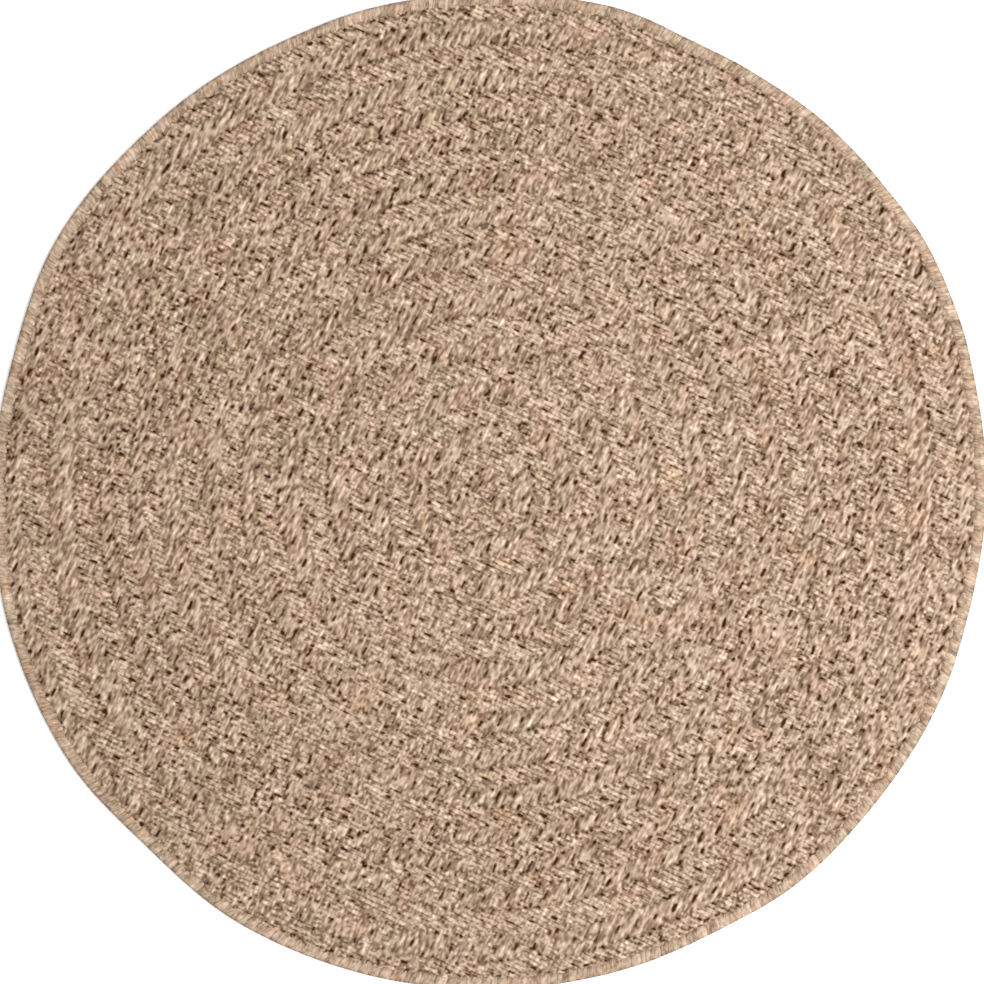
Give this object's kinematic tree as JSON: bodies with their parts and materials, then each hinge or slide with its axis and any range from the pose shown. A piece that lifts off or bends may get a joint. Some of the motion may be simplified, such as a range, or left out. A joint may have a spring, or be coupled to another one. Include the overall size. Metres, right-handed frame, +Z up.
{
  "type": "round flat-woven outdoor rug",
  "caption": "Round flat-woven outdoor rug with a woven-in braid look in closed rounds and an overcast edge, lying flat.",
  "frame": {"origin": "middle of the rug's underside, on the surface that it lies on", "axes": "+Z up through the rug's thickness; +X to the right and +Y to the top of the rug as seen from straight above"},
  "size_m": [1.1985, 1.2008, 0.0062],
  "materials": {
    "woven_cloth": "heathered beige polypropylene yarn, flat woven, matt with a slight sheen on each strand",
    "edge_yarn": "light beige overcast yarn, close slanted stitches, matt"
  },
  "bodies": {
    "root": {"rug_cloth": "woven_cloth", "overcast_edge": "edge_yarn"}
  },
  "joints": []
}
